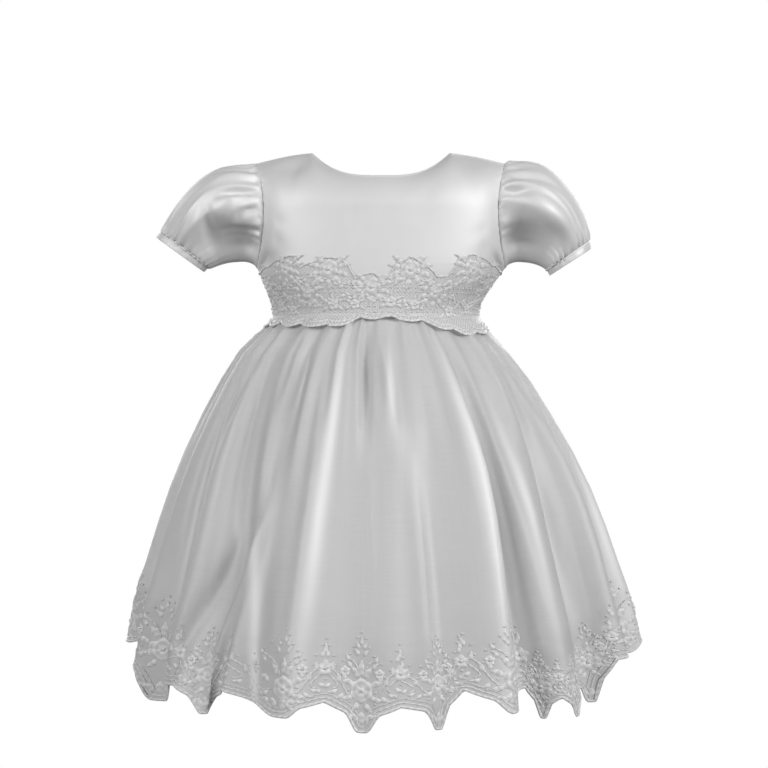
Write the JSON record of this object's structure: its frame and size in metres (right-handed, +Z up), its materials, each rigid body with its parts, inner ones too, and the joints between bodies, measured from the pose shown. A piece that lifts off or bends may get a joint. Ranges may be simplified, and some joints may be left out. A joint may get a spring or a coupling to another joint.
{
  "type": "christening gown",
  "caption": "Infant's christening gown: satin bodice with a floral lace band, puff sleeves with narrow cuffs, and a gathered sheer skirt with a scalloped hem over a satin underskirt",
  "frame": {"origin": "midway between the two shoulder seams, at their mean height, where the wearer's shoulders hold the gown", "axes": "+Z up, -Y the front of the gown, +X the wearer's left"},
  "size_m": [0.4309, 0.3611, 0.4532],
  "materials": {
    "white_satin": "smooth satin weave, soft sheen",
    "white_organza": "fine sheer plain weave, embroidered at the hem",
    "embroidered_lace": "raised thread embroidery on net",
    "pearl_button": "pearly dome"
  },
  "bodies": {
    "root": {"bodice_front": "white_satin", "bodice_back_left": "white_satin", "bodice_back_right": "white_satin", "sleeve_left": "white_satin", "sleeve_right": "white_satin", "cuff_left": "white_satin", "cuff_right": "white_satin", "underskirt_front": "white_satin", "underskirt_back": "white_satin", "skirt_front": "white_organza", "skirt_back_left": "white_organza", "skirt_back_right": "white_organza", "bodice_lace": "embroidered_lace", "button_1": "pearl_button", "button_2": "pearl_button", "button_3": "pearl_button", "button_4": "pearl_button"}
  },
  "joints": []
}
